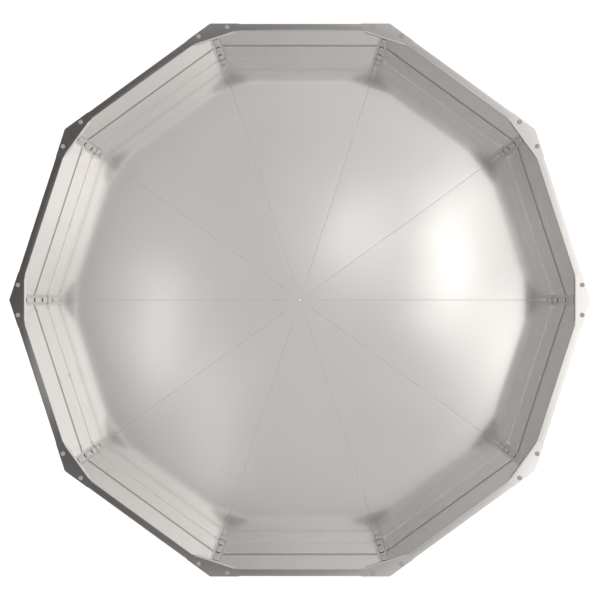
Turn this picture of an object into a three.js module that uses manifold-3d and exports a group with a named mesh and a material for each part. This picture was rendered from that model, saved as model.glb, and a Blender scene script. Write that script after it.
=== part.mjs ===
// Ten-sided open basin, folded from sheet steel and assembled flat-pack.
// Millimetres, +Z up. The origin is on the ground, at the middle of the footprint, and two opposite
// corners lie on +X and -X. Each side is a wall panel with an outward rim, and a floor petal turns up
// inside it as the lower half of the wall. Corner strips inside and corner backings outside join the
// wall panels, and a gusset ties the rims together over each corner.
import * as THREE from "three";
import { mergeGeometries, mergeVertices } from "three/addons/utils/BufferGeometryUtils.js";
import Module from "manifold-3d";

// Whole object
const SIDES = 10;
const OUTER_CORNER_RADIUS = 600; // centre to a corner of the rim
const WALL_APOTHEM = 556; // centre to the inner face of a wall
const RIM_LEVEL = 225; // top face of the rim
const FLOOR_LEVEL = 32; // top face of the floor
const SHEET = 1.5; // thickness of every folded sheet
const GAP = 0.3; // clearance between sheets that lie face to face
const BEND_RADIUS = 2; // centreline radius of a fold
const BEND_STEPS = 3;

// Wall panel
const RIM_LIP = 7; // down-turned edge of the rim
const SEAM_LEVEL = 123.5; // middle of the groove between the two courses of the wall
const SEAM_GROOVE = 8; // height of that groove
const FOOT_FLANGE = 20; // in-turned edge that stands on the ground

// Floor petal
const TIP_APOTHEM = 2.2; // where the petals' cut tips end round the centre rivet
const RIB_DEPTH = 22; // down-turned edge along each radial joint
const RIB_START = 56;
const RIB_END = 536;

// Corner strip and corner backing
const STRIP_SHEET = 1.2;
const STRIP_HALF_WIDTH = 11;
const STRIP_RAISED_HALF_WIDTH = 5.5;
const STRIP_STEP = 2; // how far the middle of the strip stands in front of its legs
const STRIP_CLEARANCE = 2.5; // above the floor and below the rim
const BACKING_LEG = 26;
const BACKING_BEND = 14; // a wide fold, so that the nuts of the corner bolts seat on it
const BACKING_CLEARANCE = 1.2;
const BACKING_BOTTOM = 5;
const BACKING_TOP = 212;

// Rim gusset
const GUSSET_LEG = 59.5; // along each outer edge of the rim
const GUSSET_LIP = 8;
const GUSSET_LIP_CLEARANCE = 1.4;

// Fasteners
const HEAD_SIDES = 10;
const HEAD_RINGS = 2;
const RIM_RIVET = { radius: 4.8, height: 1.7, fromCorner: 35, fromEdge: 7.4 };
const SEAM_RIVET = { radius: 3, height: 1.2 };
const SEAM_RIVET_ROWS = [
  { level: SEAM_LEVEL - SEAM_GROOVE / 2 - 6, fromCorner: 24 },
  { level: FLOOR_LEVEL + 9, fromCorner: 17 },
];
const CORNER_BOLT = { radius: 3.6, height: 2.6 };
const CORNER_BOLT_DEPTHS = [43, 99, 155]; // below the rim
const HEAD_ROOT = 0.6; // how deep a head reaches into the sheet that it is set in

// Hub under the middle of the floor
const HUB_RADIUS = 48;
const HUB_HOLE_RADIUS = 1.9;
const HUB_RIVET_SHANK = 1.4;
const HUB_RIVET_HEAD = 2.6;
const HUB_RIVET_DOME = 1.3;
const ROUND_SIDES = 24;

const SIDE_ANGLE = (2 * Math.PI) / SIDES;
const MITRE = SIDE_ANGLE / 2; // between a side's normal and the corner beside it
const OUTER_APOTHEM = OUTER_CORNER_RADIUS * Math.cos(MITRE);
const INNER_CORNER_RADIUS = WALL_APOTHEM / Math.cos(MITRE);
const JOGGLE = SHEET + GAP; // the wall panel's lower half steps back by this, behind the petal

const wasm = await Module();
wasm.setup();

// A geometry as a manifold-3d solid.
function toSolid(geometry) {
  const bare = geometry.clone();
  bare.deleteAttribute("normal");
  bare.deleteAttribute("uv");
  const merged = mergeVertices(bare, 1e-4);
  return new wasm.Manifold(
    new wasm.Mesh({
      numProp: 3,
      vertProperties: new Float32Array(merged.attributes.position.array),
      triVerts: new Uint32Array(merged.index.array),
    }),
  );
}

// A manifold-3d solid as a geometry.
function toGeometry(solid) {
  const mesh = solid.getMesh();
  const geometry = new THREE.BufferGeometry();
  geometry.setAttribute("position", new THREE.BufferAttribute(mesh.vertProperties, 3));
  geometry.setIndex(new THREE.BufferAttribute(mesh.triVerts, 1));
  geometry.computeVertexNormals();
  return geometry;
}

// Several overlapping geometries as one closed body.
function join(geometries) {
  return toGeometry(geometries.map(toSolid).reduce((whole, piece) => whole.add(piece)));
}

// The corners of a path replaced by arcs of the bend radius.
function roundCorners(path, radius) {
  const rounded = [path[0]];
  for (let i = 1; i < path.length - 1; i++) {
    const back = path[i - 1].clone().sub(path[i]).normalize();
    const forward = path[i + 1].clone().sub(path[i]).normalize();
    const half = back.angleTo(forward) / 2;
    const start = path[i].clone().addScaledVector(back, radius / Math.tan(half));
    const end = path[i].clone().addScaledVector(forward, radius / Math.tan(half));
    const bend = new THREE.QuadraticBezierCurve(start, path[i], end);
    rounded.push(...bend.getPoints(BEND_STEPS));
  }
  rounded.push(path[path.length - 1]);
  return rounded;
}

// The closed outline of a sheet of the given thickness whose centreline is a path.
function sheetOutline(path, thickness) {
  const left = [];
  const right = [];
  path.forEach((point, i) => {
    const before = point.clone().sub(path[Math.max(i - 1, 0)]).normalize();
    const after = path[Math.min(i + 1, path.length - 1)].clone().sub(point).normalize();
    const along = before.add(after).normalize();
    const turn = i > 0 && i < path.length - 1 ? after.dot(along) : 1;
    const side = new THREE.Vector2(-along.y, along.x).multiplyScalar(thickness / 2 / turn);
    left.push(point.clone().add(side));
    right.unshift(point.clone().sub(side));
  });
  return new THREE.Shape([...left, ...right]);
}

// A folded sheet along one whole side, mitred at both corners. The outline's x is the distance from the
// centre and its y is the height; at distance x the side reaches x times tan(mitre) each way.
function mitredSheet(path) {
  const outline = sheetOutline(roundCorners(path, BEND_RADIUS), SHEET);
  const geometry = new THREE.ExtrudeGeometry(outline, { depth: 1, bevelEnabled: false });
  const position = geometry.attributes.position;
  for (let i = 0; i < position.count; i++) {
    const distance = position.getX(i);
    const half = distance * Math.tan(MITRE) - GAP / 2 / Math.cos(MITRE);
    position.setXYZ(i, distance, (1 - 2 * position.getZ(i)) * half, position.getY(i));
  }
  return geometry;
}

// A plan outline raised from one height to another.
function upright(outline, bottom, top) {
  const geometry = new THREE.ExtrudeGeometry(outline, { depth: top - bottom, bevelEnabled: false });
  return geometry.translate(0, 0, bottom);
}

// A low dome with its axis along +Z and its rim at the origin, with a short root below.
function domeHead(radius, height) {
  const profile = [new THREE.Vector2(0, -HEAD_ROOT), new THREE.Vector2(radius, -HEAD_ROOT)];
  for (let i = 0; i <= HEAD_RINGS; i++) {
    const angle = ((i / (HEAD_RINGS + 0.5)) * Math.PI) / 2;
    profile.push(new THREE.Vector2(radius * Math.cos(angle), height * Math.sin(angle)));
  }
  profile.push(new THREE.Vector2(0, height));
  return new THREE.LatheGeometry(profile, HEAD_SIDES).rotateX(Math.PI / 2);
}

// A dome that faces the centre of the basin, from a surface at the given distance.
function inwardHead(head, distance, across, level) {
  return domeHead(head.radius, head.height).rotateY(-Math.PI / 2).translate(distance, across, level);
}

function wallPanel() {
  const face = WALL_APOTHEM + SHEET / 2;
  const outer = OUTER_APOTHEM - SHEET / 2;
  const rim = RIM_LEVEL - SHEET / 2;
  return mitredSheet([
    new THREE.Vector2(outer, RIM_LEVEL - RIM_LIP),
    new THREE.Vector2(outer, rim),
    new THREE.Vector2(face, rim),
    new THREE.Vector2(face, SEAM_LEVEL + SEAM_GROOVE / 2),
    new THREE.Vector2(face + JOGGLE, SEAM_LEVEL - SEAM_GROOVE / 2),
    new THREE.Vector2(face + JOGGLE, SHEET / 2),
    new THREE.Vector2(face + JOGGLE - FOOT_FLANGE, SHEET / 2),
  ]);
}

// The down-turned edge along one radial joint, on the left (1) or right (-1) of the petal.
function petalRib(hand) {
  const rib = new THREE.BoxGeometry(RIB_END - RIB_START, SHEET, RIB_DEPTH);
  const inset = GAP / 2 + SHEET / 2 + 0.02;
  rib.translate((RIB_START + RIB_END) / 2, -hand * inset, FLOOR_LEVEL - 0.4 - RIB_DEPTH / 2);
  return rib.rotateZ(hand * MITRE);
}

function seamRivets() {
  const halfSide = WALL_APOTHEM * Math.tan(MITRE);
  return SEAM_RIVET_ROWS.flatMap(({ level, fromCorner }) =>
    [-1, 0, 1].map((place) =>
      inwardHead(SEAM_RIVET, WALL_APOTHEM, place * (halfSide - fromCorner), level),
    ),
  );
}

function floorPetal() {
  const sheet = mitredSheet([
    new THREE.Vector2(TIP_APOTHEM, FLOOR_LEVEL - SHEET / 2),
    new THREE.Vector2(WALL_APOTHEM + SHEET / 2, FLOOR_LEVEL - SHEET / 2),
    new THREE.Vector2(WALL_APOTHEM + SHEET / 2, SEAM_LEVEL - SEAM_GROOVE / 2),
  ]);
  return join([sheet, petalRib(1), petalRib(-1), ...seamRivets()]);
}

// A point of the corner's plan: how far from the wall's inner face, on the inside, at a distance
// across the corner's bisector.
function besideWall(across, inside) {
  const along = INNER_CORNER_RADIUS - Math.abs(across) * Math.tan(MITRE);
  return new THREE.Vector2(along - inside / Math.cos(MITRE), across);
}

function cornerStrip() {
  const legs = GAP + STRIP_SHEET / 2;
  const step = STRIP_RAISED_HALF_WIDTH + 1;
  const middle = besideWall(step, legs + STRIP_STEP).x;
  const path = [
    besideWall(-STRIP_HALF_WIDTH, legs),
    besideWall(-step, legs),
    new THREE.Vector2(middle, -STRIP_RAISED_HALF_WIDTH),
    new THREE.Vector2(middle, STRIP_RAISED_HALF_WIDTH),
    besideWall(step, legs),
    besideWall(STRIP_HALF_WIDTH, legs),
  ];
  const outline = sheetOutline(path, STRIP_SHEET);
  const strip = upright(outline, FLOOR_LEVEL + STRIP_CLEARANCE, RIM_LEVEL - STRIP_CLEARANCE);
  const face = middle - STRIP_SHEET / 2;
  const bolts = CORNER_BOLT_DEPTHS.map((depth) => inwardHead(CORNER_BOLT, face, 0, RIM_LEVEL - depth));
  return join([strip, ...bolts]);
}

function cornerBacking() {
  const distance = -(SHEET + JOGGLE + BACKING_CLEARANCE + SHEET / 2);
  const path = [
    besideWall(-BACKING_LEG * Math.cos(MITRE), distance),
    besideWall(0, distance),
    besideWall(BACKING_LEG * Math.cos(MITRE), distance),
  ];
  return upright(sheetOutline(roundCorners(path, BACKING_BEND), SHEET), BACKING_BOTTOM, BACKING_TOP);
}

function gussetPlate() {
  const legEnd = new THREE.Vector2(
    OUTER_CORNER_RADIUS - GUSSET_LEG * Math.sin(MITRE),
    GUSSET_LEG * Math.cos(MITRE),
  );
  const rimWidth = OUTER_APOTHEM - WALL_APOTHEM;
  const inner = new THREE.Vector2(
    legEnd.x - rimWidth * Math.cos(MITRE),
    legEnd.y - rimWidth * Math.sin(MITRE),
  );
  return {
    edge: inner.x,
    outline: new THREE.Shape([
      new THREE.Vector2(OUTER_CORNER_RADIUS, 0),
      legEnd,
      inner,
      new THREE.Vector2(inner.x, -inner.y),
      new THREE.Vector2(legEnd.x, -legEnd.y),
    ]),
  };
}

function rimRivet(hand) {
  const along = RIM_RIVET.fromCorner;
  const head = domeHead(RIM_RIVET.radius, RIM_RIVET.height);
  head.translate(
    OUTER_CORNER_RADIUS - along * Math.sin(MITRE) - RIM_RIVET.fromEdge * Math.cos(MITRE),
    hand * (along * Math.cos(MITRE) - RIM_RIVET.fromEdge * Math.sin(MITRE)),
    RIM_LEVEL + GAP + SHEET,
  );
  return head;
}

function rimGusset() {
  const { edge, outline } = gussetPlate();
  const bottom = RIM_LEVEL + GAP;
  const plate = upright(outline, bottom, bottom + SHEET);
  const reach = (INNER_CORNER_RADIUS - edge - SHEET) / Math.tan(MITRE) - GUSSET_LIP_CLEARANCE;
  const lip = new THREE.BoxGeometry(SHEET, 2 * reach, GUSSET_LIP);
  lip.translate(edge + SHEET / 2, 0, bottom + SHEET / 2 - GUSSET_LIP / 2);
  return join([plate, lip, rimRivet(1), rimRivet(-1)]);
}

function hubPlate() {
  const top = FLOOR_LEVEL - SHEET - GAP;
  return new THREE.LatheGeometry(
    [
      new THREE.Vector2(HUB_HOLE_RADIUS, top - SHEET),
      new THREE.Vector2(HUB_RADIUS, top - SHEET),
      new THREE.Vector2(HUB_RADIUS, top),
      new THREE.Vector2(HUB_HOLE_RADIUS, top),
      new THREE.Vector2(HUB_HOLE_RADIUS, top - SHEET),
    ],
    ROUND_SIDES,
  ).rotateX(Math.PI / 2);
}

function hubRivet() {
  const top = FLOOR_LEVEL + GAP;
  const bottom = FLOOR_LEVEL - 2 * SHEET - 2 * GAP;
  return new THREE.LatheGeometry(
    [
      new THREE.Vector2(0, bottom - HUB_RIVET_DOME),
      new THREE.Vector2(HUB_RIVET_HEAD * 0.8, bottom - HUB_RIVET_DOME * 0.7),
      new THREE.Vector2(HUB_RIVET_HEAD, bottom),
      new THREE.Vector2(HUB_RIVET_SHANK, bottom),
      new THREE.Vector2(HUB_RIVET_SHANK, top),
      new THREE.Vector2(HUB_RIVET_HEAD, top),
      new THREE.Vector2(HUB_RIVET_HEAD * 0.8, top + HUB_RIVET_DOME * 0.7),
      new THREE.Vector2(0, top + HUB_RIVET_DOME),
    ],
    ROUND_SIDES / 2,
  ).rotateX(Math.PI / 2);
}

const SATIN_STEEL = { color: 0xb9b6b3, roughness: 0.34, metalness: 1 };
const BRIGHT_STEEL = { color: 0xd6d4d1, roughness: 0.2, metalness: 1 };

function named(name, geometry, finish) {
  const mesh = new THREE.Mesh(geometry, new THREE.MeshStandardMaterial(finish));
  mesh.name = name;
  return mesh;
}

// One copy of a piece at every side, or at every corner, turned about the centre.
function ring(name, geometry, finish, firstAngle) {
  const group = new THREE.Group();
  for (let i = 0; i < SIDES; i++) {
    const mesh = named(`${name}_${i + 1}`, geometry, finish);
    mesh.rotation.z = firstAngle + i * SIDE_ANGLE;
    group.add(mesh);
  }
  return group;
}

const basin = new THREE.Group();
basin.add(
  ring("wall_panel", wallPanel(), SATIN_STEEL, MITRE),
  ring("floor_petal", floorPetal(), SATIN_STEEL, MITRE),
  ring("corner_strip", cornerStrip(), SATIN_STEEL, 0),
  ring("corner_backing", cornerBacking(), SATIN_STEEL, 0),
  ring("rim_gusset", rimGusset(), SATIN_STEEL, 0),
  named("hub_plate", hubPlate(), SATIN_STEEL),
  named("hub_rivet", hubRivet(), BRIGHT_STEEL),
);

export default basin;
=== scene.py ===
"""Looks of a ten-sided open basin in satin sheet steel: folded panels, riveted rim, bolted corners."""

import logging
import math
from collections.abc import Sequence
from dataclasses import dataclass, field, replace
from enum import Enum

import bpy
import numpy as np
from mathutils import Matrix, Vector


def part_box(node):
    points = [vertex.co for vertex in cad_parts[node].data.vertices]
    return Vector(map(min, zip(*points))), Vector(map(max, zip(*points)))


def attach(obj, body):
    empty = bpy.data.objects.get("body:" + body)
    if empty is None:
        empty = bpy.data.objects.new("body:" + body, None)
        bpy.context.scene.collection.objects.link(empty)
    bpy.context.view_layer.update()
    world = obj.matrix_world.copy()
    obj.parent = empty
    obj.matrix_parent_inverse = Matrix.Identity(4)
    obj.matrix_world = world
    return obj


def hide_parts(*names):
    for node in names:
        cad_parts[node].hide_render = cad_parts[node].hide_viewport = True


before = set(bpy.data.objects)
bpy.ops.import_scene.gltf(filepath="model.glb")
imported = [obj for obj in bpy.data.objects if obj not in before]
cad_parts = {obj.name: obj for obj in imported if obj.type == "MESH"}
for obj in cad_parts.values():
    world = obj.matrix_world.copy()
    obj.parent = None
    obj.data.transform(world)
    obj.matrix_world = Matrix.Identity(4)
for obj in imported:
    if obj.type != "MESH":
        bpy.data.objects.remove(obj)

Array = np.ndarray
Material = bpy.types.Material
Object = bpy.types.Object
Socket = bpy.types.NodeSocket

log = logging.getLogger("basin")

SIDES = 10
SIDE_ANGLE = 2 * math.pi / SIDES
MITRE = SIDE_ANGLE / 2
SIDE_TURNS = tuple(MITRE + side * SIDE_ANGLE for side in range(SIDES))
CORNER_TURNS = tuple(corner * SIDE_ANGLE for corner in range(SIDES))
BODY = "root"
MM = 0.001
BOLT_DEPTHS = (43 * MM, 99 * MM, 155 * MM)  # the corner bolts' depths below the rim's top face


class Slot(Enum):
    """Material slots of the record."""

    WALL = "wall_steel"
    FLOOR = "floor_steel"
    STRIP = "strip_steel"
    GUSSET = "gusset_steel"
    RIVET = "rivet_steel"


class Axis(Enum):
    """Directions that a small fastener can face, in the frame of one side or corner."""

    UP = (0.0, 0.0, 1.0)
    DOWN = (0.0, 0.0, -1.0)
    INWARD = (-1.0, 0.0, 0.0)
    OUTWARD = (1.0, 0.0, 0.0)
    LEFT = (0.0, 1.0, 0.0)
    RIGHT = (0.0, -1.0, 0.0)


# ---------------------------------------------------------------------------------------------
# Sizes
# ---------------------------------------------------------------------------------------------


@dataclass(frozen=True)
class Plan:
    """Driving sizes of the basin in metres. Those with a box in the frame are read from it."""

    outer_corner: float
    outer_apothem: float
    rim_level: float
    seam_bottom: float
    rib_bottom: float
    sheet: float = 1.5 * MM
    gap: float = 0.3 * MM
    wall_apothem: float = 556 * MM
    groove: float = 5 * MM
    rib_depth: float = 22.4 * MM

    @classmethod
    def from_frame(cls) -> "Plan":
        """Reads the sizes from the boxes of the side that faces +Y and the gusset that faces +X."""
        wall_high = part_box("wall_panel_3")[1]
        petal_low, petal_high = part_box("floor_petal_3")
        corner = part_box("rim_gusset_1")[1].x
        return cls(corner, wall_high.y, wall_high.z, petal_high.z, petal_low.z)

    @property
    def floor_level(self) -> float:
        """Height of the floor's top face."""
        return self.rib_bottom + self.rib_depth

    @property
    def inner_corner(self) -> float:
        """Distance from the centre to a corner between two walls' inner faces."""
        return self.wall_apothem / math.cos(MITRE)

    @property
    def joggle(self) -> float:
        """How far the lower half of a wall panel steps back, behind the petal's upstand."""
        return self.sheet + self.gap

    def half_side(self, distance: Array | float) -> Array | float:
        """Half the length of a side at a distance from the centre, less half the mitre gap."""
        return distance * math.tan(MITRE) - self.gap / 2 / math.cos(MITRE)

    def beside_wall(self, across: float, inside: float) -> tuple[float, float]:
        """A point of a corner's plan.

        Args:
            across: Distance from the corner's bisector.
            inside: Distance from the wall's inner face, towards the basin's middle.

        Returns:
            The distance along the bisector and the distance across it.
        """
        along = self.inner_corner - abs(across) * math.tan(MITRE) - inside / math.cos(MITRE)
        return along, across


# ---------------------------------------------------------------------------------------------
# Curves and grids
# ---------------------------------------------------------------------------------------------


def fold(path: Sequence[tuple[float, float]], radius: float, steps: int = 8) -> Array:
    """Rounds the inner corners of an open path with circular arcs, as a press brake does.

    Each arc turns a unit vector from one side's normal to the other's at a constant rate and
    scales it by the radius. A guard point stands just outside each end of an arc, so that the
    flats beside it shade flat.

    Args:
        path: Corner points of the path.
        radius: Radius of every arc.
        steps: Segments in each arc.

    Returns:
        The points of the folded path, one row each.
    """
    corners = np.asarray(path, float)
    out = [corners[0]]
    for before, here, after in zip(corners[:-2], corners[1:-1], corners[2:]):
        back = (before - here) / np.linalg.norm(before - here)
        ahead = (after - here) / np.linalg.norm(after - here)
        half = math.acos(float(np.clip(back @ ahead, -1, 1))) / 2
        reach = radius / math.tan(half)
        bisector = (back + ahead) / np.linalg.norm(back + ahead)
        centre = here + bisector * radius / math.sin(half)
        first, last = here + back * reach - centre, here + ahead * reach - centre
        turn = math.pi - 2 * half
        share = np.linspace(0, 1, steps + 1)[:, None]
        arc = (np.sin((1 - share) * turn) * first + np.sin(share * turn) * last) / math.sin(turn)
        guard = min(0.6 * MM, radius / 2)
        out += [here + back * (reach + guard), *(centre + arc), here + ahead * (reach + guard)]
    out.append(corners[-1])
    return np.array(out)


def refine(path: Array, longest: float) -> Array:
    """Splits every stretch of a path that is longer than a given length into equal parts."""
    pieces = [path[:1]]
    for a, b in zip(path[:-1], path[1:]):
        count = max(1, math.ceil(float(np.linalg.norm(b - a)) / longest))
        pieces.append(a + (b - a) * (np.arange(1, count + 1) / count)[:, None])
    return np.concatenate(pieces)


def path_normals(path: Array) -> Array:
    """Unit normals of a path in a plane: its direction turned a quarter to the left."""
    along = np.gradient(path, axis=0)
    along /= np.linalg.norm(along, axis=1, keepdims=True)
    return np.stack([-along[:, 1], along[:, 0]], axis=1)


def smooth_step(value: Array, start: float, end: float) -> Array:
    """Rises from 0 at start to 1 at end along a cubic with level ends."""
    t = np.clip((value - start) / (end - start), 0, 1)
    return t * t * (3 - 2 * t)


def turned(points: Array, angle: float) -> Array:
    """Points turned about the Z axis."""
    c, s = math.cos(angle), math.sin(angle)
    return points @ np.array([[c, s, 0], [-s, c, 0], [0, 0, 1]])


def seated(points: Array, axis: Axis, origin: Sequence[float], angle: float) -> Array:
    """Turns a fastener that stands along +Z so that it faces another way, and puts it in place.

    Args:
        points: Points of the fastener, which stands on the origin.
        axis: The direction that it faces, in the frame of its side or corner.
        origin: Where its foot goes, in that frame.
        angle: Turn of that frame about the Z axis.

    Returns:
        The moved points.
    """
    w = np.array(axis.value)
    u = np.array([0.0, 0.0, 1.0]) if abs(w[2]) < 0.5 else np.array([1.0, 0.0, 0.0])
    return turned(points @ np.stack([u, np.cross(w, u), w]) + np.asarray(origin, float), angle)


def upright(path: Array, low: float, high: float, angle: float) -> Array:
    """A path in plan carried straight up: its (x, y) at each of 13 even heights, turned about Z."""
    height = np.linspace(low, high, 13)[:, None]
    return turned(np.stack(np.broadcast_arrays(path[:, 0], path[:, 1], height), axis=-1), angle)


@dataclass
class Shell:
    """Vertices and faces gathered from several grids, to become one mesh."""

    vertices: list[Array] = field(default_factory=list)
    faces: list[Array] = field(default_factory=list)
    count: int = 0

    def add_grid(self, grid: Array, around: bool = False) -> "Shell":
        """Adds a surface given as rows and columns of points.

        Face corners run from a point to the next column, the next row's next column and back,
        so the surface faces the way of (column direction) x (row direction).

        Args:
            grid: Points, shaped rows x columns x 3.
            around: Whether the last column joins the first.

        Returns:
            The shell itself.
        """
        rows, columns = grid.shape[:2]
        index = np.arange(rows * columns).reshape(rows, columns) + self.count
        ahead = np.roll(index, -1, axis=1) if around else index[:, 1:]
        here = index if around else index[:, :-1]
        quads = np.stack([here[:-1], ahead[:-1], ahead[1:], here[1:]], axis=-1).reshape(-1, 4)
        self.vertices.append(grid.reshape(-1, 3))
        self.faces.append(quads)
        self.count += rows * columns
        return self

    def add_closed(self, rings: Array) -> "Shell":
        """Adds a closed body: rings from its foot to its top, with a fan at each end.

        Args:
            rings: Points of the rings, shaped rings x columns x 3, running anticlockwise.

        Returns:
            The shell itself.
        """
        rows, columns = rings.shape[:2]
        first = self.count + np.arange(columns)
        last = first + (rows - 1) * columns
        self.add_grid(rings, around=True)
        self.vertices.append(np.stack([rings[0].mean(axis=0), rings[-1].mean(axis=0)]))
        foot, top = np.full(columns, self.count), np.full(columns, self.count + 1)
        self.count += 2
        self.faces.append(np.stack([np.roll(first, -1), first, foot], axis=-1))
        self.faces.append(np.stack([last, np.roll(last, -1), top], axis=-1))
        return self

    def to_object(self, name: str) -> Object:
        """Makes the gathered surfaces one smooth-shaded mesh object at the origin."""
        mesh = bpy.data.meshes.new(name)
        faces = [face for block in self.faces for face in block.tolist()]
        mesh.from_pydata(np.concatenate(self.vertices).tolist(), [], faces)
        mesh.polygons.foreach_set("use_smooth", [True] * len(mesh.polygons))
        mesh.update()
        made = bpy.data.objects.new(name, mesh)
        bpy.context.scene.collection.objects.link(made)
        return made


def lathe(profile: Sequence[tuple[float, float]], columns: int) -> Array:
    """Rings of a round body: each (radius, height) carried once round the Z axis."""
    angle = 2 * math.pi * np.arange(columns) / columns
    radius, height = np.asarray(profile, float).T
    ring = np.stack([np.cos(angle), np.sin(angle), np.zeros(columns)], axis=-1)
    return radius[:, None, None] * ring + height[:, None, None] * np.array([0.0, 0.0, 1.0])


def hexagonal(rings: Array, flat: float, first: int, last: int) -> Array:
    """Cuts some rings of a round body down to a hexagon.

    A point keeps its angle, and its distance from the axis becomes the lesser of its own and
    the hexagon's, which is the half width over the cosine of the angle from the nearest flat.

    Args:
        rings: Rings from lathe.
        flat: Half the width across flats.
        first: First ring that is cut.
        last: Last ring that is cut.

    Returns:
        The cut rings.
    """
    cut = rings.copy()
    x, y = cut[first : last + 1, :, 0], cut[first : last + 1, :, 1]
    sector = math.pi / 3
    angle = np.mod(np.arctan2(y, x) + sector / 2, sector) - sector / 2
    limit = flat / np.cos(angle)
    scale = np.minimum(1.0, limit / np.maximum(np.hypot(x, y), 1e-9))
    cut[first : last + 1, :, 0] = x * scale
    cut[first : last + 1, :, 1] = y * scale
    return cut


@dataclass(frozen=True)
class Warp:
    """Slight unevenness of rolled sheet: three crossed sine waves whose phases depend on a seed."""

    height: float
    length: float

    def lift(self, across: Array, along: Array, seed: int) -> Array:
        """Height of the unevenness at distances across and along a sheet.

        Args:
            across: Distances across the sheet.
            along: Distances along it.
            seed: Seed of the phases, one for each sheet.

        Returns:
            The heights.
        """
        phase = np.random.default_rng(seed).uniform(0, 2 * math.pi, 3)
        k = 2 * math.pi / self.length
        waves = (
            np.sin(k * across + phase[0])
            + 0.7 * np.sin(0.6 * k * along + phase[1])
            + 0.5 * np.sin(k * (0.8 * across + 1.1 * along) + phase[2])
        )
        return self.height * waves / 2.2


# ---------------------------------------------------------------------------------------------
# Finishes
# ---------------------------------------------------------------------------------------------


@dataclass(frozen=True)
class Graph:
    """A node tree, with short ways to add the nodes that the finishes and the sky need."""

    tree: bpy.types.NodeTree

    def add(self, kind: str, **options: object) -> bpy.types.Node:
        """Adds a node and sets its options."""
        node = self.tree.nodes.new(kind)
        for name, value in options.items():
            setattr(node, name, value)
        return node

    def feed(self, target: Socket, source: Socket | object) -> None:
        """Links a socket to an input, or sets the input to a value."""
        if isinstance(source, bpy.types.NodeSocket):
            self.tree.links.new(source, target)
        else:
            target.default_value = source

    def math(self, operation: str, *values: Socket | float) -> Socket:
        """A math node on sockets or numbers."""
        node = self.add("ShaderNodeMath", operation=operation)
        for target, value in zip(node.inputs, values):
            self.feed(target, value)
        return node.outputs[0]

    def split(self, vector: Socket) -> bpy.types.Node:
        """A node that splits a vector into X, Y and Z."""
        node = self.add("ShaderNodeSeparateXYZ")
        self.feed(node.inputs[0], vector)
        return node

    def fade(self, value: Socket, start: float, end: float, low: float = 0, high: float = 1) -> Socket:
        """A smooth step of a value, from low at start to high at end."""
        node = self.add("ShaderNodeMapRange", interpolation_type="SMOOTHSTEP")
        ends = {"Value": value, "From Min": start, "From Max": end, "To Min": low, "To Max": high}
        for name, source in ends.items():
            self.feed(node.inputs[name], source)
        return node.outputs["Result"]

    def mix(self, kind: str, share: Socket, plain: Socket, other: object) -> Socket:
        """A mix of a socket and a constant.

        Args:
            kind: The mix node's data type, FLOAT or RGBA.
            share: The constant's share.
            plain: What it is mixed with.
            other: The constant.

        Returns:
            The mixed socket.
        """
        node = self.add("ShaderNodeMix", data_type=kind)
        ends = [end for end in node.inputs if end.enabled and end.name in "AB"]
        for target, source in zip((node.inputs[0], *ends), (share, plain, other)):
            self.feed(target, source)
        return next(end for end in node.outputs if end.enabled)


@dataclass(frozen=True)
class Band:
    """A level band of a finish: full within half its width of a height, and faded over the edge."""

    level: float
    half_width: float
    edge: float
    value: float

    def share(self, graph: Graph, place: Socket) -> Socket:
        """A socket that is 1 in the band and 0 outside, from the Object coordinates."""
        height = graph.split(place).outputs["Z"]
        away = graph.math("ABSOLUTE", graph.math("SUBTRACT", height, self.level))
        return graph.fade(away, self.half_width + self.edge, self.half_width)


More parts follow.
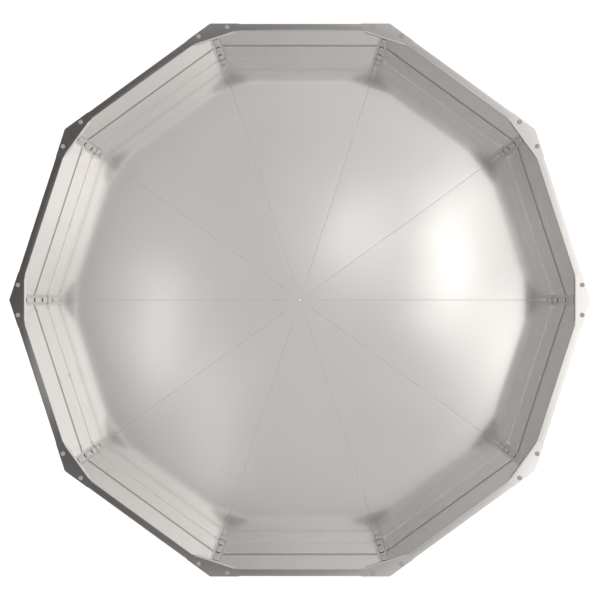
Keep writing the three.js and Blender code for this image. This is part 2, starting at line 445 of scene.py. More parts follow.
@dataclass(frozen=True)
class SatinSteel:
    """Satin sheet steel: fine drawn lines, a cloudy sheen, and bands of painted shade and of wear.

    The lines are noise on Object coordinates, turned to the sheet's own direction and stretched
    along it. They drive the roughness and a very small bump. A second, cloudy noise varies the
    roughness and the colour as handling does. A painted-shade band multiplies the colour by its
    value, painting shade where it falls, and a worn band sets its value as the roughness.
    """

    name: str
    colour: tuple[float, float, float] = (0.865, 0.857, 0.848)
    roughness: float = 0.24
    line_spread: float = 0.05
    cloud_spread: float = 0.03
    line_bump: float = 0.05
    line_stretch: float = 40.0
    line_scale: float = 900.0
    cloud_scale: float = 3.0
    angle: float = 0.0
    # Bands of painted shade: each multiplies the colour by its value over a range of heights.
    painted_shade: tuple[Band, ...] = ()
    worn: tuple[Band, ...] = ()

    def make(self) -> Material:
        """Builds the material's nodes.

        Away from the worn bands, the roughness is its base + (lines - 1/2) x line spread +
        (cloud - 1/2) x cloud spread.
        """
        material = bpy.data.materials.new(self.name)
        material.use_nodes = True
        graph = Graph(material.node_tree)
        inputs = graph.tree.nodes["Principled BSDF"].inputs
        place = graph.add("ShaderNodeTexCoord").outputs["Object"]
        lines = self._noise(graph, place, self.line_scale / self.line_stretch, self.line_scale, 3.0)
        cloud = self._noise(graph, place, self.cloud_scale, self.cloud_scale, 4.0)
        low = self.roughness - (self.line_spread + self.cloud_spread) / 2
        rough = graph.math("MULTIPLY_ADD", lines, self.line_spread, low)
        rough = graph.math("MULTIPLY_ADD", cloud, self.cloud_spread, rough)
        for band in self.worn:
            rough = graph.mix("FLOAT", band.share(graph, place), rough, band.value)
        colour = self._clouded(graph, cloud)
        # Painted shade: each band darkens the colour by its value.
        for band in self.painted_shade:
            colour = graph.mix("RGBA", band.share(graph, place), colour, self._shade(band.value))
        bump = graph.add("ShaderNodeBump")
        bump.inputs["Strength"].default_value = self.line_bump
        bump.inputs["Distance"].default_value = 0.02 * MM
        graph.feed(bump.inputs["Height"], lines)
        inputs["Metallic"].default_value = 1.0
        graph.feed(inputs["Roughness"], rough)
        graph.feed(inputs["Base Color"], colour)
        graph.feed(inputs["Normal"], bump.outputs["Normal"])
        return material

    def _shade(self, share: float) -> tuple[float, float, float, float]:
        """The base colour times a share."""
        return (*(channel * share for channel in self.colour), 1.0)

    def _noise(
        self, graph: Graph, place: Socket, along: float, across: float, detail: float
    ) -> Socket:
        """Noise on Object coordinates turned by the sheet's angle.

        Args:
            graph: The node tree to build in.
            place: The Object coordinates.
            along: Frequency along the drawn lines, per metre.
            across: Frequency across them.
            detail: Octaves of the noise.

        Returns:
            The noise's value socket.
        """
        mapping = graph.add("ShaderNodeMapping", vector_type="TEXTURE")
        mapping.inputs["Rotation"].default_value = (0.0, 0.0, self.angle)
        mapping.inputs["Scale"].default_value = (1 / across, 1 / along, 1 / across)
        noise = graph.add("ShaderNodeTexNoise")
        noise.inputs["Scale"].default_value = 1.0
        noise.inputs["Detail"].default_value = detail
        graph.feed(mapping.inputs["Vector"], place)
        graph.feed(noise.inputs["Vector"], mapping.outputs["Vector"])
        return noise.outputs["Fac"]

    def _clouded(self, graph: Graph, cloud: Socket) -> Socket:
        """Base colour, a little darker where the cloud is low."""
        ramp = graph.add("ShaderNodeValToRGB")
        for stop, position, share in zip(ramp.color_ramp.elements, (0.3, 0.6), (0.95, 1.0)):
            stop.position = position
            stop.color = self._shade(share)
        graph.feed(ramp.inputs["Fac"], cloud)
        return ramp.outputs["Color"]


@dataclass(frozen=True)
class PaleGround:
    """A plain matt ground: near white around the basin and grey further away.

    A little light of its own keeps the near part white. Both fade with the distance from the
    middle, by a smooth step from the near distance to the far one.
    """

    name: str = "pale_ground"
    near_grey: float = 0.86
    far_grey: float = 0.48
    near: float = 1.15
    far: float = 2.2
    glow: float = 0.5

    def make(self) -> Material:
        """Builds the material's nodes."""
        material = bpy.data.materials.new(self.name)
        material.use_nodes = True
        graph = Graph(material.node_tree)
        inputs = graph.tree.nodes["Principled BSDF"].inputs
        inputs["Roughness"].default_value = 0.9
        inputs["Specular IOR Level"].default_value = 0.1
        inputs["Emission Color"].default_value = (1.0, 1.0, 1.0, 1.0)
        length = graph.add("ShaderNodeVectorMath", operation="LENGTH")
        graph.feed(length.inputs[0], graph.add("ShaderNodeTexCoord").outputs["Object"])
        distance = length.outputs["Value"]
        grey = graph.fade(distance, self.near, self.far, self.near_grey, self.far_grey)
        glow = graph.fade(distance, self.near, self.far, self.glow, 0.0)
        graph.feed(inputs["Base Color"], grey)
        graph.feed(inputs["Emission Strength"], glow)
        return material


# ---------------------------------------------------------------------------------------------
# Sub-assemblies
# ---------------------------------------------------------------------------------------------


def thicken(piece: Object, thickness: float, offset: float) -> None:
    """Gives a surface the thickness of its sheet; offset -1 puts all of it behind the surface."""
    solid = piece.modifiers.new("sheet", "SOLIDIFY")
    solid.thickness = thickness
    solid.offset = offset
    solid.use_even_offset = True
    solid.use_quality_normals = True


def ease_edges(piece: Object, width: float, segments: int = 2) -> None:
    """Rounds the cut edges a little and weights the normals, so that the flats shade flat."""
    bevel = piece.modifiers.new("eased_edges", "BEVEL")
    bevel.width = width
    bevel.segments = segments
    bevel.limit_method = "ANGLE"
    bevel.angle_limit = math.radians(50)
    weighted = piece.modifiers.new("flat_shading", "WEIGHTED_NORMAL")
    weighted.weight = 80
    weighted.keep_sharp = False


def finish_piece(piece: Object, slot: Slot, material: Material, *replaced: str) -> None:
    """Dresses a piece, lets it ride on the basin and says which solids it stands for."""
    piece.data.materials.append(material)
    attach(piece, BODY)
    if replaced:
        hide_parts(*replaced)
    log.info("%s: %d faces", piece.name, len(piece.data.polygons))


@dataclass
class WallPanels:
    """The ten wall panels: rim with a lip, upright web with a joggle, and in-turned foot."""

    plan: Plan
    lip: float = 7 * MM
    foot: float = 20 * MM
    bend: float = 1.1 * MM
    columns: int = 40
    warp: Warp = Warp(0.12 * MM, 260 * MM)
    even_foot: float = 40 * MM
    even_top: float = 30 * MM
    finish: SatinSteel = SatinSteel("wall_satin", roughness=0.22, line_bump=0.012)

    def profile(self) -> Array:
        """Centreline of the section, from the rim's lip to the foot: distance and height."""
        plan, half = self.plan, self.plan.sheet / 2
        outer, face = plan.outer_apothem - half, plan.wall_apothem + half
        rim = plan.rim_level - half
        back = face + plan.joggle
        rim_path = np.array([(outer, plan.rim_level - self.lip), (outer, rim)])
        web_path = [
            (face, rim),
            (face, plan.seam_bottom + plan.groove),
            (back, plan.seam_bottom),
            (back, half),
            (back - self.foot, half),
        ]
        return refine(np.concatenate([rim_path, fold(web_path, self.bend)]), 9 * MM)

    def surface(self, side: int) -> Array:
        """Points of one panel's centre surface, in the frame of its side.

        Each profile point is carried along the side to the mitre planes: the place along the
        side is a share from -1 to 1 of the half side at that distance. The web swells by the
        sheet's warp, faded out towards its folds and ends.
        """
        profile = self.profile()
        distance, height = profile[:, :1], profile[:, 1:]
        share = np.linspace(1, -1, self.columns + 1)[None, :]
        along = self.plan.half_side(distance) * share
        top = self.plan.rim_level - 10 * MM
        fade = smooth_step(height, 0, self.even_foot)
        fade = fade * (1 - smooth_step(height, top - self.even_top, top)) * (1 - share**2)
        swell = self.warp.lift(along, height, side) * fade
        return np.stack(np.broadcast_arrays(distance + swell, along, height), axis=-1)

    def build(self) -> list[Object]:
        """Builds the panels, each turned to its side."""
        made = []
        for side, angle in enumerate(SIDE_TURNS):
            panel = Shell().add_grid(turned(self.surface(side), angle))
            panel = panel.to_object(f"wall_sheet_{side + 1}")
            thicken(panel, self.plan.sheet, 0.0)
            ease_edges(panel, 0.35 * MM, 3)
            made.append(panel)
        return made

    def dress(self, panels: Sequence[Object]) -> None:
        """Gives each panel satin steel whose lines run along its side, with painted shade just above the
        seam.
        """
        # Painted shade: the band just above the seam darkens the colour to 0.7, for the shade of the seam
        # groove.
        painted_shade = (Band(level=self.plan.seam_bottom + 6 * MM, half_width=5 * MM, edge=2.5 * MM, value=0.7),)
        worn = (Band(level=self.plan.rim_level, half_width=2.4 * MM, edge=0.5 * MM, value=0.1),)
        for number, (panel, angle) in enumerate(zip(panels, SIDE_TURNS), 1):
            name = f"{self.finish.name}_{number}"
            steel = replace(self.finish, name=name, angle=angle, painted_shade=painted_shade, worn=worn)
            finish_piece(panel, Slot.WALL, steel.make(), f"wall_panel_{number}")


@dataclass
class FloorPetals:
    """The ten floor petals: a sector of floor, an upstand along the wall and a rib at each joint."""

    plan: Plan
    tip: float = 2.2 * MM
    wall_bend: float = 0.9 * MM
    edge_bend: float = 0.3 * MM
    least: float = 0.08 * MM
    edge_shift: float = 0.1 * MM
    rib_start: float = 56 * MM
    rib_end: float = 536 * MM
    joint_closed: float = 36 * MM
    joint_open: float = 60 * MM
    warp: Warp = Warp(0.25 * MM, 330 * MM)
    first_seed: int = 40
    warped: tuple[float, ...] = (40 * MM, 200 * MM, 440 * MM, 550 * MM)
    finish: SatinSteel = SatinSteel("floor_satin", roughness=0.15, line_bump=0.012)

    def profile(self) -> Array:
        """Inner face of the section along the middle: out from the tip, then up the wall."""
        plan = self.plan
        path = [
            (self.tip, plan.floor_level),
            (plan.wall_apothem, plan.floor_level),
            (plan.wall_apothem, plan.seam_bottom),
        ]
        return refine(fold(path, self.wall_bend), 11 * MM)

    def surface(self, side: int) -> Array:
        """Points of one petal's inner face, in the frame of its side.

        At each point of the profile the section across is a flat, a quarter round and a rib
        that leaves along the face's inward side. The quarter round's radius and the rib's depth
        grow from almost nothing at the tip, hold along the joint and shrink again at the wall.
        """
        plan, profile = self.plan, self.profile()
        normals = path_normals(profile)
        distance = profile[:, 0]
        on_floor = 1 - smooth_step(profile[:, 1], plan.floor_level, plan.floor_level + 2 * MM)
        opened = smooth_step(distance, 8 * MM, self.joint_open) * on_floor
        opened *= 1 - smooth_step(distance, self.rib_end, self.rib_end + 14 * MM)
        radius = self.least + (self.edge_bend - self.least) * opened
        ends = (distance - self.rib_start) / plan.rib_depth
        others = (self.rib_end - distance) / plan.rib_depth
        deep = np.clip(np.minimum(ends, others), 0, 1) * on_floor
        depth = self.least + (plan.rib_depth - self.edge_bend - self.least) * deep
        closed = 1 - smooth_step(distance, self.joint_closed, self.joint_open)
        half = plan.half_side(distance) - self.edge_shift + 2 * self.edge_shift * closed

        quarter = np.linspace(0, math.pi / 2, 6)[1:]
        flat = np.linspace(-1, 1, 31)
        drop_share = np.linspace(0, 1, 4)[1:]
        inner = (half - radius)[:, None]
        edge_side = inner + radius[:, None] * np.sin(quarter)
        edge_drop = radius[:, None] * (1 - np.cos(quarter))
        rib_side = half[:, None] + 0 * drop_share
        rib_drop = radius[:, None] + depth[:, None] * drop_share
        sides = np.concatenate([edge_side, rib_side], axis=1)
        drops = np.concatenate([edge_drop, rib_drop], axis=1)
        across = np.concatenate([-sides[:, ::-1], inner * flat, sides], axis=1)
        down = np.concatenate([drops[:, ::-1], 0 * inner * flat, drops], axis=1)

        rise_start, rise_end, fall_start, fall_end = self.warped
        fade = smooth_step(distance, rise_start, rise_end) * on_floor
        fade *= 1 - smooth_step(distance, fall_start, fall_end)
        within = np.clip(1 - (across / np.maximum(half[:, None], 1e-6)) ** 2, 0, 1)
        warp = self.warp.lift(across, distance[:, None], self.first_seed + side)
        lift = warp * within * fade[:, None] - down
        along = distance[:, None] + lift * normals[:, :1]
        return np.stack([along, across, profile[:, 1:] + lift * normals[:, 1:]], axis=-1)

    def build(self) -> list[Object]:
        """Builds the petals, each turned to its side."""
        made = []
        for side, angle in enumerate(SIDE_TURNS):
            petal = Shell().add_grid(turned(self.surface(side), angle)[:, ::-1])
            petal = petal.to_object(f"floor_sheet_{side + 1}")
            thicken(petal, self.plan.sheet, -1.0)
            ease_edges(petal, 0.12 * MM, 1)
            made.append(petal)
        return made

    def dress(self, petals: Sequence[Object]) -> None:
        """Gives each petal satin steel, rougher up the wall, with painted shade at the bend and along the
        top.
        """
        top, floor = self.plan.seam_bottom, self.plan.floor_level
        upstand = Band((top + floor) / 2, (top - floor) / 2 - 3 * MM, 2 * MM, 0.22)
        # The upstand's sheared top edge is matt, and its band darkens the colour too: partly the dull cut
        # edge, partly painted shade of the seam gap. It serves as wear and as painted shade.
        sheared_edge_and_shade = Band(top, 0.1 * MM, 0.1 * MM, 0.55)
        painted_shade = (
            # Painted shade: darkens the colour to 0.82 around the seam at the upstand's top.
            Band(top, 1.2 * MM, 1 * MM, 0.82),
            sheared_edge_and_shade,
            # Painted shade: darkens the colour to 0.75 along the floor bend, dimming its highlight.
            Band(floor + 1.2 * MM, 0.5 * MM, 0.4 * MM, 0.75),
        )
        for number, petal in enumerate(petals, 1):
            name = f"{self.finish.name}_{number}"
            steel = replace(self.finish, name=name, painted_shade=painted_shade, worn=(upstand, sheared_edge_and_shade))
            finish_piece(petal, Slot.FLOOR, steel.make(), f"floor_petal_{number}")


def dome(radius: float, height: float, root: float) -> list[tuple[float, float]]:
    """Profile of a rivet's head: a short root, an upright rim and a spherical crown with a dimple.

    The crown stands on the rim, which has a fifth of the head's height. Its sphere's radius is
    (r^2 + h^2) / 2h for a crown of radius r and height h, and its points are at equal angles.
    """
    rise = 0.8 * height
    sphere = (radius**2 + rise**2) / (2 * rise)
    angle = math.asin(radius / sphere) * np.linspace(1, 0.12, 9)
    crown = [(sphere * math.sin(a), height - sphere * (1 - math.cos(a))) for a in angle]
    dimple = [(radius * 0.09, height * 0.9), (radius * 0.05, height * 0.86)]
    return [(radius * 0.5, -root), (radius * 0.97, -root * 0.2), (radius, 0.0), *crown, *dimple]


@dataclass
class SeamRivets:
    """The small rivets along each wall: heads on the petal and set tails on the wall's back."""

    plan: Plan
    radius: float = 3.0 * MM
    height: float = 1.2 * MM
    below_seam: float = 6 * MM
    seam_inset: float = 24 * MM
    above_floor: float = 9 * MM
    floor_inset: float = 17 * MM
    finish: SatinSteel = SatinSteel("rivet_bright", roughness=0.2, line_bump=0.0)

    def places(self) -> list[tuple[float, float]]:
        """Distance along the side and height of every rivet of one side."""
        half = self.plan.wall_apothem * math.tan(MITRE)
        rows = (
            (self.plan.seam_bottom - self.below_seam, half - self.seam_inset),
            (self.plan.floor_level + self.above_floor, half - self.floor_inset),
        )
        return [(share * reach, level) for level, reach in rows for share in (-1, 0, 1)]

    def build(self) -> list[Object]:
        """Builds one piece for each side, with its six rivets."""
        face = self.plan.wall_apothem
        back = face + self.plan.joggle + self.plan.sheet
        head = lathe(dome(self.radius, self.height, 0.4 * MM), 20)
        tail = lathe(dome(self.radius * 0.72, self.height * 0.9, 0.4 * MM), 16)
        made = []
        for number, angle in enumerate(SIDE_TURNS, 1):
            shell = Shell()
            for along, level in self.places():
                shell.add_closed(seated(head, Axis.INWARD, (face, along, level), angle))
                shell.add_closed(seated(tail, Axis.OUTWARD, (back, along, level), angle))
            made.append(shell.to_object(f"seam_rivets_{number}"))
        return made

    def dress(self, rivets: Sequence[Object]) -> None:
        """Gives the rivets one bright finish."""
        steel = self.finish.make()
        for piece in rivets:
            finish_piece(piece, Slot.RIVET, steel)


@dataclass
class CornerStrips:
    """The raised strips in the inner corners, each held by three button-head bolts."""

    plan: Plan
    sheet: float = 1.2 * MM
    half_width: float = 11 * MM
    raised_half: float = 5.5 * MM
    step: float = 2 * MM
    clearance: float = 2.5 * MM
    finish: SatinSteel = SatinSteel("strip_satin", colour=(0.68, 0.67, 0.66), roughness=0.25)
    bolt_finish: SatinSteel = SatinSteel("bolt_bright", roughness=0.16, line_bump=0.0)
    # The washers' near-black colour paints the shadow ring around each bolt head.
    washer_shadow_finish: SatinSteel = SatinSteel(
        "washer_painted_shadow", colour=(0.05, 0.048, 0.045), roughness=0.45, line_bump=0.0
    )

    def middle(self) -> float:
        """Distance from the centre to the raised part's centreline."""
        legs = self.plan.gap + self.sheet / 2
        return self.plan.beside_wall(self.raised_half + 1 * MM, legs + self.step)[0]

    def plan_path(self) -> Array:
        """Centreline of the strip in plan: a leg on each wall and a raised part between."""
        plan, middle = self.plan, self.middle()
        legs = plan.gap + self.sheet / 2
        step = self.raised_half + 1 * MM
        path = [
            plan.beside_wall(-self.half_width, legs),
            plan.beside_wall(-step, legs),
            (middle, -self.raised_half),
            (middle, self.raised_half),
            plan.beside_wall(step, legs),
            plan.beside_wall(self.half_width, legs),
        ]
        return fold(path, 0.9 * MM, 5)

    def button_head(self) -> Array:
        """Rings of a button head with a hexagonal socket sunk in its crown."""
        head, socket = 3.4 * MM, 1.35 * MM
        crown = [(head * math.cos(a), (0.9 + 1.7 * math.sin(a)) * MM) for a in (0, 0.3, 0.6, 0.9, 1.1)]
        profile = [
            (head * 0.9, 0.75 * MM),
            *crown,
            (socket * 1.25, 2.45 * MM),
            (socket * 1.15, 2.4 * MM),
            (socket * 1.15, 1.2 * MM),
        ]
        return hexagonal(lathe(profile, 24), socket, len(profile) - 2, len(profile) - 1)

    def washer(self) -> Array:
        """Rings of a plain washer with eased edges."""
        outer, thick = 4.6 * MM, 0.75 * MM
        profile = [(outer * 0.6, -0.3 * MM), (outer, 0.0), (outer, thick - 0.2 * MM)]
        return lathe([*profile, (outer - 0.2 * MM, thick), (outer * 0.3, thick)], 24)

    def build(self) -> list[Object]:
        """Builds a strip, a set of bolts and a set of washers for each corner."""
        path, rim = self.plan_path(), self.plan.rim_level
        low, high = self.plan.floor_level + self.clearance, rim - self.clearance
        face = self.middle() - self.sheet / 2
        head, washer = self.button_head(), self.washer()
        made = []
        for number, angle in enumerate(CORNER_TURNS, 1):
            strip = Shell().add_grid(upright(path, low, high, angle))
            strip = strip.to_object(f"corner_cover_{number}")
            thicken(strip, self.sheet, 0.0)
            ease_edges(strip, 0.2 * MM)
            bolts, washers = Shell(), Shell()
            for depth in BOLT_DEPTHS:
                foot = (face, 0.0, rim - depth)
                bolts.add_closed(seated(head, Axis.INWARD, foot, angle))
                washers.add_closed(seated(washer, Axis.INWARD, foot, angle))
            bolts = bolts.to_object(f"corner_bolts_{number}")
            ease_edges(bolts, 0.1 * MM)
            made += [strip, bolts, washers.to_object(f"corner_washers_{number}")]
        return made

    def dress(self, pieces: Sequence[Object]) -> None:
        """Gives the strips satin steel, the bolts a brighter one and the washers a black one, which
        paints the shadow ring around each bolt head.
        """
        steel, bright = self.finish.make(), self.bolt_finish.make()
        black = self.washer_shadow_finish.make()
        sets = zip(pieces[::3], pieces[1::3], pieces[2::3])
        for number, (strip, bolts, washers) in enumerate(sets, 1):
            finish_piece(strip, Slot.STRIP, steel, f"corner_strip_{number}")
            finish_piece(bolts, Slot.RIVET, bright)
            finish_piece(washers, Slot.RIVET, black)


def hex_nut(flat: float, height: float, bolt: float, proud: float) -> Array:
    """Rings of a hexagon nut with chamfered corners, and the bolt's end standing out of it."""
    corner = flat / math.cos(math.pi / 6)
    profile = [
        (flat * 0.95, 0.0),
        (corner, 0.15 * flat),
        (corner, height - 0.15 * flat),
        (flat * 0.95, height),
        (bolt * 1.05, height),
        (bolt, height + 0.02 * MM),
        (bolt, height + proud - 0.25 * MM),
        (bolt * 0.8, height + proud),
    ]
    return hexagonal(lathe(profile, 24), flat, 1, 2)


@dataclass
class CornerBackings:
    """The angles outside the corners, which the corner bolts' nuts pull against."""

    plan: Plan
    leg: float = 26 * MM
    bend: float = 14 * MM
    clearance: float = 1.2 * MM
    bottom: float = 5 * MM
    top: float = 212 * MM
    finish: SatinSteel = SatinSteel("backing_satin", roughness=0.3)
    nut_finish: SatinSteel = SatinSteel("nut_bright", roughness=0.28, line_bump=0.0)

    def plan_path(self) -> Array:
        """Centreline of the angle in plan: two legs and a wide fold."""
        plan = self.plan
        behind = -(plan.sheet + plan.joggle + self.clearance + plan.sheet / 2)
        reach = self.leg * math.cos(MITRE)
        corners = [plan.beside_wall(across, behind) for across in (-reach, 0.0, reach)]
        return fold(corners, self.bend, 10)

    def build(self) -> list[Object]:
        """Builds an angle and its nuts for each corner."""
        path = self.plan_path()
        face = path[:, 0].max() + self.plan.sheet / 2
        nut = hex_nut(flat=3.5 * MM, height=3.2 * MM, bolt=2 * MM, proud=1.6 * MM)
        made = []
        for number, angle in enumerate(CORNER_TURNS, 1):
            backing = Shell().add_grid(upright(path, self.bottom, self.top, angle))
            backing = backing.to_object(f"backing_angle_{number}")
            thicken(backing, self.plan.sheet, 0.0)
            ease_edges(backing, 0.3 * MM)
            nuts = Shell()
            for depth in BOLT_DEPTHS:
                foot = (face, 0.0, self.plan.rim_level - depth)
                nuts.add_closed(seated(nut, Axis.OUTWARD, foot, angle))
            nuts = nuts.to_object(f"corner_nuts_{number}")
            ease_edges(nuts, 0.1 * MM)
            made += [backing, nuts]
        return made

    def dress(self, pieces: Sequence[Object]) -> None:
        """Gives the angles satin steel and the nuts a brighter one."""
        steel, bright = self.finish.make(), self.nut_finish.make()
        for number, (backing, nuts) in enumerate(zip(pieces[::2], pieces[1::2]), 1):
            finish_piece(backing, Slot.STRIP, steel, f"corner_backing_{number}")
            finish_piece(nuts, Slot.RIVET, bright)


@dataclass
class RimGussets:
    """The plates over the rim's corners, folded down along their inner edge, with two rivets each."""

    plan: Plan
    leg: float = 59.5 * MM
    lip: float = 8 * MM
    lip_clearance: float = 3.0 * MM
    bend: float = 1.2 * MM
    least: float = 0.1 * MM
    rivet_radius: float = 4.75 * MM
    rivet_height: float = 1.65 * MM
    rivet_along: float = 35 * MM
    rivet_inset: float = 7.4 * MM
    finish: SatinSteel = SatinSteel("gusset_satin", roughness=0.1, line_bump=0.006)
    rivet_finish: SatinSteel = SatinSteel(
        "rim_rivet_dull", colour=(0.46, 0.455, 0.45), roughness=0.24, line_bump=0.0
    )

    def outline(self) -> tuple[Array, Array]:
        """Half lengths and places of the outer and inner ends of the plate.

        Returns:
            The outer leg's end and the inner edge's end, each as distance along and across.
        """
        c, s = math.cos(MITRE), math.sin(MITRE)
        outer = np.array([self.plan.outer_corner - self.leg * s, self.leg * c])
        width = self.plan.outer_apothem - self.plan.wall_apothem
        return outer, outer - width * np.array([c, s])

    def surface(self) -> Array:
        """Points of the gusset's top and inner face, in the frame of its corner.

        Each line across runs straight from the rim's outer edge to the inner edge, then turns
        down through a quarter round and along the lip. The lip's depth fades out at its ends.
        """
        outer, inner = self.outline()
        level = self.plan.rim_level + self.plan.gap + self.plan.sheet
        share = np.linspace(1, -1, 65)[:, None]
        across_outer, across_inner = share * outer[1], share * inner[1]
        start = self.plan.outer_corner - np.abs(across_outer) * math.tan(MITRE)
        reach = (self.plan.inner_corner - inner[0] - self.plan.sheet) / math.tan(MITRE)
        reach -= self.lip_clearance
        window = 1 - smooth_step(np.abs(across_inner), reach - 2 * MM, reach)
        radius = self.least + (self.bend - self.least) * window
        depth = self.least + (self.lip - self.bend - self.least) * window
        quarter = np.linspace(0, math.pi / 2, 7)[None, 1:]
        drop = np.linspace(0, 1, 5)[None, 1:]
        run = np.array([0, 0.1, 0.3, 0.5, 0.7, 0.9, 1.0])[None, :]
        flat_along = start + (inner[0] + radius - start) * run
        flat_across = across_outer + (across_inner - across_outer) * run
        bend_along = inner[0] + radius * (1 - np.sin(quarter))
        bend_height = level - radius * (1 - np.cos(quarter))
        lip_height = level - radius - depth * drop
        along = np.concatenate([flat_along, bend_along, inner[0] + 0 * lip_height], axis=1)
        edge_across = across_inner + np.zeros(quarter.size + drop.size)
        across = np.concatenate([flat_across, edge_across], axis=1)
        height = np.concatenate([level + 0 * flat_along, bend_height, lip_height], axis=1)
        return np.stack([along, across, height], axis=-1)

    def rivet_place(self, hand: int) -> tuple[float, float]:
        """Where a rivet stands: distance along the corner's bisector and across it."""
        c, s = math.cos(MITRE), math.sin(MITRE)
        along = self.plan.outer_corner - self.rivet_along * s - self.rivet_inset * c
        return along, hand * (self.rivet_along * c - self.rivet_inset * s)

    def build(self) -> list[Object]:
        """Builds a plate and its rivets for each corner."""
        surface = self.surface()
        top = self.plan.rim_level + self.plan.gap + self.plan.sheet
        under = self.plan.rim_level - self.plan.sheet
        head = lathe(dome(self.rivet_radius, self.rivet_height, 0.3 * MM), 32)
        tail = lathe(dome(self.rivet_radius * 0.7, self.rivet_height, 0.3 * MM), 20)
        made = []
        for number, angle in enumerate(CORNER_TURNS, 1):
            plate = Shell().add_grid(turned(surface, angle)).to_object(f"gusset_plate_{number}")
            thicken(plate, self.plan.sheet, -1.0)
            ease_edges(plate, 0.25 * MM)
            rivets = Shell()
            for hand in (-1, 1):
                place = self.rivet_place(hand)
                rivets.add_closed(seated(head, Axis.UP, (*place, top), angle))
                rivets.add_closed(seated(tail, Axis.DOWN, (*place, under), angle))
            made += [plate, rivets.to_object(f"rim_rivets_{number}")]
        return made

    def dress(self, pieces: Sequence[Object]) -> None:
        """Gives each plate satin steel whose lines run along its inner edge, and dull rivets."""
        dull = self.rivet_finish.make()
        pairs = zip(CORNER_TURNS, pieces[::2], pieces[1::2])
        for number, (angle, plate, rivets) in enumerate(pairs, 1):
            steel = replace(self.finish, name=f"{self.finish.name}_{number}", angle=angle)
            finish_piece(plate, Slot.GUSSET, steel.make(), f"rim_gusset_{number}")
            finish_piece(rivets, Slot.RIVET, dull)


@dataclass
class JointShadeStrips:
    """Dark strips sunk a little below the floor between neighbouring petals, whose near-black colour
    paints the shade inside the joints.
    """

    plan: Plan
    start: float = 38 * MM
    end: float = 553 * MM
    half_width: float = 0.14 * MM
    sunk: float = 0.7 * MM
    depth: float = 0.75 * MM
    # Near-black colour: painted shade in the joints between the petals.
    finish: SatinSteel = SatinSteel(
        "joint_painted_shade", colour=(0.03, 0.03, 0.03), roughness=0.6, line_bump=0.0
    )

    def build(self) -> list[Object]:
        """Builds one strip for each joint: a rectangle carried along the joint and capped."""
        top = self.plan.floor_level - self.sunk
        section = np.array([(-1, 0), (-1, -1), (1, -1), (1, 0)]) * (self.half_width, self.depth)
        along = np.linspace(self.start, self.end, 24)[:, None]
        rings = np.stack(np.broadcast_arrays(along, section[:, 0], top + section[:, 1]), axis=-1)
        return [
            Shell().add_closed(turned(rings, angle)).to_object(f"joint_shade_strip_{number}")
            for number, angle in enumerate(CORNER_TURNS, 1)
        ]

    def dress(self, pieces: Sequence[Object]) -> None:
        """Gives the strips one near-black finish, painted shade for the joints."""
        slot_shade = self.finish.make()
        for piece in pieces:
            finish_piece(piece, Slot.FLOOR, slot_shade)


@dataclass
class RibBolts:
    """The bolts and nuts that clamp neighbouring petals' ribs together under the floor."""

    plan: Plan
    distances: tuple[float, ...] = (110 * MM, 250 * MM, 390 * MM, 500 * MM)
    below_floor: float = 13 * MM
    finish: SatinSteel = SatinSteel("rib_bolt_zinc", roughness=0.32, line_bump=0.0)

    def build(self) -> list[Object]:
        """Builds one piece for each joint, with its bolts and nuts."""
        face = self.plan.gap / 2 + self.plan.sheet
        level = self.plan.floor_level - self.below_floor
        nut = hex_nut(flat=4 * MM, height=4 * MM, bolt=2.5 * MM, proud=2.5 * MM)
        head = hex_nut(flat=4 * MM, height=3.5 * MM, bolt=1.2 * MM, proud=0.5 * MM)
        made = []
        for number, angle in enumerate(CORNER_TURNS, 1):
            bolts = Shell()
            for distance in self.distances:
                bolts.add_closed(seated(nut, Axis.LEFT, (distance, face, level), angle))
                bolts.add_closed(seated(head, Axis.RIGHT, (distance, -face, level), angle))
            bolts = bolts.to_object(f"rib_bolts_{number}")
            ease_edges(bolts, 0.1 * MM)
            made.append(bolts)
        return made

    def dress(self, pieces: Sequence[Object]) -> None:
        """Gives the bolts a dull zinc-like steel."""
        steel = self.finish.make()
        for piece in pieces:
            finish_piece(piece, Slot.RIVET, steel)


@dataclass
class Hub:
    """The plate under the petals' tips and the rivet that holds them to it."""

    plan: Plan
    shank: float = 1.4 * MM
    head: float = 2.5 * MM
    crown: float = 1.1 * MM
    edge: float = 0.5 * MM
    finish: SatinSteel = SatinSteel("hub_satin", roughness=0.3)
    rivet_finish: SatinSteel = SatinSteel(
        "hub_rivet_bright", colour=(0.96, 0.95, 0.94), roughness=0.12, line_bump=0.0
    )

    def build(self) -> list[Object]:
        """Builds the rivet: a lower head, a shank and a domed upper head."""
        plan = self.plan
        top = plan.floor_level + plan.gap
        low = plan.floor_level - 2 * plan.sheet - 2 * plan.gap
        rise = self.crown - self.edge
        sphere = (self.head**2 + rise**2) / (2 * rise)
        turn = math.asin(self.head / sphere) * np.linspace(0.1, 1, 7)
        cap = [(sphere * math.sin(a), rise - sphere * (1 - math.cos(a)) + self.edge) for a in turn]
        lower = [(radius, low - height) for radius, height in cap]
        upper = [(radius, top + height) for radius, height in reversed(cap)]
        shank = [(self.head, low), (self.shank, low), (self.shank, top), (self.head, top)]
        rings = lathe([*lower, *shank, *upper], 28)
        rivet = Shell().add_closed(rings).to_object("centre_rivet")
        ease_edges(rivet, 0.05 * MM)
        return [rivet]

    def dress(self, pieces: Sequence[Object]) -> None:
        """Dresses the rivet, and gives the hub plate's own solid satin steel."""
        finish_piece(pieces[0], Slot.RIVET, self.rivet_finish.make(), "hub_rivet")
        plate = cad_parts["hub_plate"]
        plate.data.materials.clear()
        plate.data.materials.append(self.finish.make())


# ---------------------------------------------------------------------------------------------
# Studio
# ---------------------------------------------------------------------------------------------


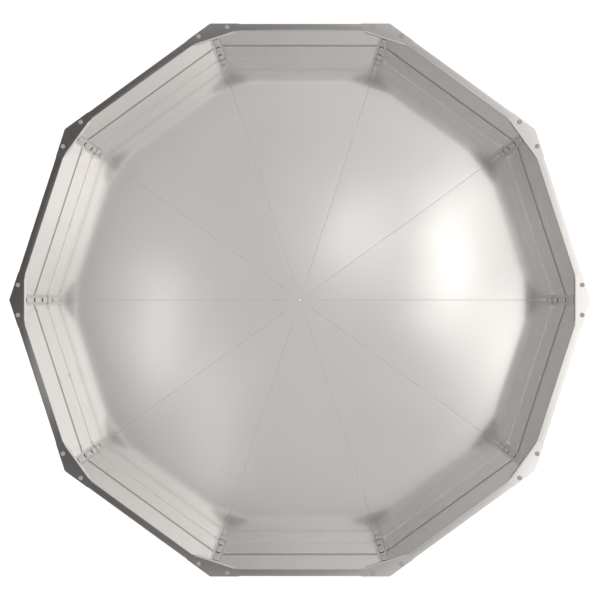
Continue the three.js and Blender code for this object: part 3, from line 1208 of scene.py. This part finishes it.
@dataclass(frozen=True)
class SoftPanel:
    """A soft-edged light panel in the sky, placed by slope: sideways distance over height.

    Its strength fades from full to nothing over the edge width on either side of its half size.
    Place, half size and edge width are given along X and Y.
    """

    place: tuple[float, float]
    half: tuple[float, float]
    edge: tuple[float, float]
    strength: float

    def light(self, graph: Graph, x: Socket, y: Socket) -> Socket:
        """The panel's light at a slope."""
        shares = []
        for slope, middle, half, edge in zip((x, y), self.place, self.half, self.edge):
            away = graph.math("ABSOLUTE", graph.math("SUBTRACT", slope, middle))
            shares.append(graph.fade(away, half + edge, half - edge))
        return graph.math("MULTIPLY", graph.math("MULTIPLY", *shares), self.strength)


@dataclass(frozen=True)
class SkyRing:
    """A ring of the sky between two slopes, brighter towards one side or along one axis.

    Its light is level + toward_x cos a + toward_y sin a + along_x cos 2a at direction angle a.
    """

    start: float
    end: float
    level: float
    toward_x: float = 0.0
    toward_y: float = 0.0
    along_x: float = 0.0
    edge: float = 0.008

    def light(self, graph: Graph, x: Socket, y: Socket) -> Socket:
        """Light at a slope, with cos a = x / slope, sin a = y / slope, cos 2a = 2 cos^2 a - 1."""
        square = graph.math("MULTIPLY_ADD", x, x, graph.math("MULTIPLY", y, y))
        slope = graph.math("MAXIMUM", graph.math("SQRT", square), 0.0001)
        cosine, sine = graph.math("DIVIDE", x, slope), graph.math("DIVIDE", y, slope)
        level = graph.math("MULTIPLY_ADD", cosine, 2 * self.along_x, self.toward_x)
        level = graph.math("MULTIPLY_ADD", level, cosine, self.level - self.along_x)
        level = graph.math("MULTIPLY_ADD", sine, self.toward_y, level)
        outside = graph.fade(slope, self.start - self.edge, self.start + self.edge)
        inside = graph.fade(slope, self.end + self.edge, self.end - self.edge)
        return graph.math("MULTIPLY", graph.math("MULTIPLY", outside, inside), level)


@dataclass
class Studio:
    """Plain pale ground, a soft sky of rings and panels, and the camera on the basin's axis."""

    plan: Plan
    lens: float = 50.0
    camera_height: float = 1.721
    ground_size: float = 30.0
    rings: tuple[SkyRing, ...] = (
        SkyRing(0.0, 0.27, level=0.575),
        SkyRing(0.27, 0.3, level=0.7, toward_x=0.25, toward_y=0.24),
        SkyRing(0.3, 0.36, level=0.265, toward_x=0.322, toward_y=-0.034, along_x=0.112),
        SkyRing(0.36, 0.46, level=0.74, toward_x=0.68, edge=0.03),
        SkyRing(0.46, 0.62, level=1.0, edge=0.03),
        SkyRing(0.62, 2.0, level=0.9, edge=0.03),
        SkyRing(2.0, 2000.0, level=0.38, edge=0.03),
    )
    panels: tuple[SoftPanel, ...] = (
        SoftPanel((0.18, 0.042), (0.022, 0.065), (0.016, 0.045), 1.6),
        SoftPanel((0.25, -0.06), (0.025, 0.065), (0.02, 0.05), 0.94),
        SoftPanel((0.205, 0.12), (0.05, 0.06), (0.035, 0.045), 0.29),
        SoftPanel((0.066, 0.072), (0.04, 0.045), (0.032, 0.04), 0.58),
        SoftPanel((0.1, 0.16), (0.1, 0.08), (0.055, 0.065), 0.06),
        SoftPanel((-0.168, -0.03), (0.016, 0.07), (0.012, 0.04), 0.87),
        SoftPanel((-0.108, -0.15), (0.014, 0.095), (0.01, 0.045), 0.39),
        SoftPanel((0.33, 0.0), (0.03, 0.15), (0.02, 0.08), 0.22),
        SoftPanel((-0.315, -0.1), (0.025, 0.05), (0.015, 0.04), 0.23),
        SoftPanel((0.19, -0.08), (0.03, 0.05), (0.02, 0.04), 0.16),
        SoftPanel((0.284, -0.206), (0.025, 0.025), (0.02, 0.02), 0.36),
    )
    tint: tuple[float, float, float] = (1.0, 0.968, 0.945)

    def ground(self) -> Object:
        """A square of ground, split into a few faces, just under the basin's feet."""
        span = np.linspace(-self.ground_size / 2, self.ground_size / 2, 5)
        x, y = np.meshgrid(span, span)
        grid = np.stack([x, y, np.full_like(x, -0.1 * MM)], axis=-1)
        made = Shell().add_grid(grid).to_object("pale_ground")
        made.data.materials.append(PaleGround().make())
        return made

    def sky(self) -> bpy.types.World:
        """A world whose light depends on direction alone: the sum of its rings and panels."""
        world = bpy.data.worlds.new("studio_sky")
        world.use_nodes = True
        graph = Graph(world.node_tree)
        split = graph.split(graph.add("ShaderNodeTexCoord").outputs["Generated"])
        up = graph.math("MAXIMUM", split.outputs["Z"], 0.001)
        x = graph.math("DIVIDE", split.outputs["X"], up)
        y = graph.math("DIVIDE", split.outputs["Y"], up)
        light = graph.math("ADD", 0.0, 0.0)
        for part in (*self.rings, *self.panels):
            light = graph.math("ADD", light, part.light(graph, x, y))
        background = graph.tree.nodes["Background"]
        background.inputs["Color"].default_value = (*self.tint, 1.0)
        graph.feed(background.inputs["Strength"], light)
        bpy.context.scene.world = world
        return world

    def camera(self) -> Object:
        """A camera on the axis above the rim, looking straight down with +Y at the top."""
        data = bpy.data.cameras.new("overhead")
        data.lens = self.lens
        data.sensor_width = 36.0
        made = bpy.data.objects.new("overhead", data)
        made.location = (0.0, 0.0, self.plan.rim_level + self.camera_height)
        bpy.context.scene.collection.objects.link(made)
        bpy.context.scene.camera = made
        return made

    def build(self) -> None:
        """Sets up the ground, the sky and the camera."""
        self.camera()
        self.ground()
        self.sky()
        bpy.context.scene.view_settings.view_transform = "Standard"


def corners(bounds: tuple) -> list[list[float]]:
    """A box's two corners as plain lists of numbers."""
    return [list(corner) for corner in bounds]


def main() -> None:
    """Builds and dresses every sub-assembly in order, then sets up the studio."""
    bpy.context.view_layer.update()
    plan = Plan.from_frame()
    for maker in (
        WallPanels(plan),
        FloorPetals(plan),
        SeamRivets(plan),
        CornerStrips(plan),
        CornerBackings(plan),
        RimGussets(plan),
        JointShadeStrips(plan),
        RibBolts(plan),
        Hub(plan),
    ):
        log.info("building %s", type(maker).__name__)
        maker.dress(maker.build())
    Studio(plan).build()


if __name__ == "__main__":
    logging.basicConfig(level=logging.INFO, format="%(name)s: %(message)s")
    main()
